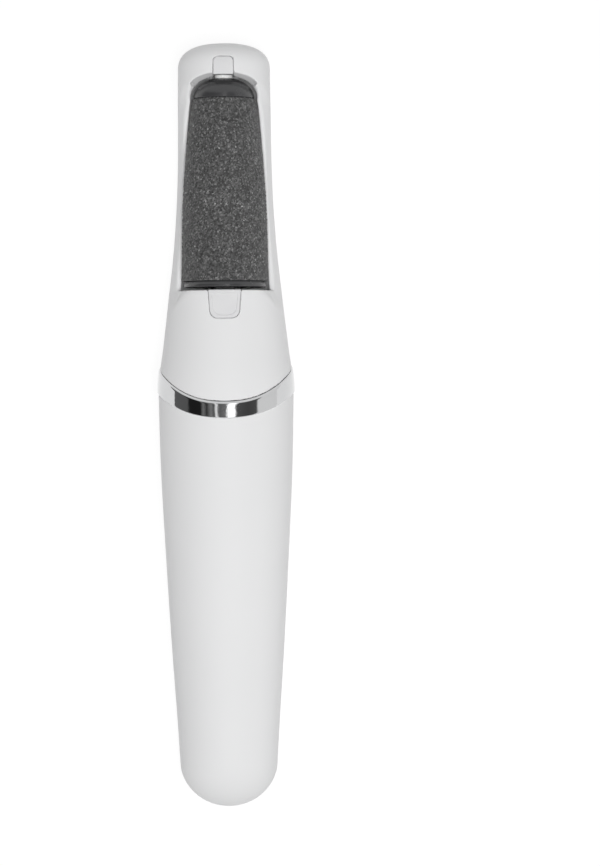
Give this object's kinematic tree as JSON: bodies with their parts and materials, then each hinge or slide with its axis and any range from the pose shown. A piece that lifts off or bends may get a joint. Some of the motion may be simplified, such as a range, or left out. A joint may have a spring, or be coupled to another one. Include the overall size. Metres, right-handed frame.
{
  "type": "electric callus remover",
  "caption": "Slim cordless wand with a motor-driven tapered abrasive roller in an open head, a polished ring, a slide switch and a press release for the roller.",
  "frame": {"origin": "on the flat back, at the middle of the device's length and width", "axes": "+X to the right as the front faces up, +Y along the device towards the head end, +Z out of the front"},
  "size_m": [0.0344, 0.1912, 0.0324],
  "materials": {
    "shell": "satin white moulded plastic",
    "tab": "fine matt white plastic",
    "ring": "polished plating",
    "steel": "bright steel",
    "frame_plastic": "black moulded plastic",
    "cell_wrap": "shrink wrap",
    "lead_red": "insulated lead",
    "lead_black": "insulated lead",
    "board": "green solder mask",
    "nylon": "white nylon",
    "led": "clear amber",
    "clear": "frosted clear",
    "magnet": "dark ferrite",
    "laminations": "stacked steel",
    "copper": "enamelled copper wire",
    "bronze": "sintered bronze",
    "seal_rubber": "soft black rubber",
    "dark_gloss": "glossy dark grey",
    "dark_matte": "matt dark grey",
    "grit": "coarse mineral grit"
  },
  "bodies": {
    "housing": {"head_shell": "shell", "pin_bearing_block": "tab", "trim_ring": "ring", "handle_front_shell": "shell", "handle_rear_shell": "shell", "shell_screws": "steel", "chassis": "frame_plastic", "battery_cell": "cell_wrap", "battery_tabs": "steel", "battery_leads": "lead_red", "circuit_board": "board", "board_screws": "steel", "control_chips": "frame_plastic", "switch_body": "frame_plastic", "charge_socket": "steel", "charge_led": "led", "light_pipe": "clear", "motor_can": "steel", "motor_end_cap": "nylon", "motor_magnets": "magnet", "motor_bushes": "bronze", "motor_terminals": "bronze", "motor_leads": "lead_black", "motor_mount_plate": "frame_plastic", "motor_screws": "steel", "bearing_bridge": "frame_plastic", "bridge_screws": "steel", "drive_bushes": "bronze", "shaft_seal": "seal_rubber"},
    "drive": {"drive_shaft": "steel", "drive_gear": "nylon", "thrust_washer": "steel", "socket_spring": "steel", "roller_core": "dark_matte", "roller_dome_cap": "dark_gloss", "roller_base_cap": "dark_gloss", "abrasive_sleeve": "grit", "pin_spring": "steel", "spring_seat": "dark_matte"},
    "rotor": {"motor_armature": "laminations", "motor_windings": "copper", "motor_shaft": "steel", "motor_pinion": "bronze"},
    "socket": {"drive_socket": "dark_matte"},
    "pin": {"roller_pin": "nylon"},
    "button": {"release_button": "tab"},
    "switch": {"switch_knob": "tab", "switch_slider": "nylon"}
  },
  "joints": [
    {"name": "drive_spin", "type": "hinge", "parent": "housing", "child": "drive", "pos_m": [0, 0.02435, 0.0205], "axis": [0, 1, 0], "continuous": true},
    {"name": "motor_spin", "type": "hinge", "parent": "housing", "child": "rotor", "pos_m": [0, -0.00565, 0.01], "axis": [0, 1, 0], "continuous": true},
    {"name": "release_press", "type": "slide", "parent": "housing", "child": "button", "axis": [0, 0, -1], "range_m": [0, 0.0016], "stiffness_N_per_m": 800, "springref_m": -0.0005},
    {"name": "socket_retract", "type": "slide", "parent": "drive", "child": "socket", "axis": [0, -1, 0], "range_m": [0, 0.0026], "stiffness_N_per_m": 400, "springref_m": -0.0005, "deforming": ["socket_spring"]},
    {"name": "pin_plunge", "type": "slide", "parent": "drive", "child": "pin", "axis": [0, -1, 0], "range_m": [0, 0.003], "stiffness_N_per_m": 500, "springref_m": -0.001, "deforming": ["pin_spring"]},
    {"name": "switch_slide", "type": "slide", "parent": "housing", "child": "switch", "axis": [0, 1, 0], "range_m": [0, 0.005]}
  ],
  "couplings": [
    {"joint": "motor_spin", "follows": "drive_spin", "ratio": -2.5},
    {"joint": "socket_retract", "follows": "release_press", "ratio": 1.625}
  ]
}
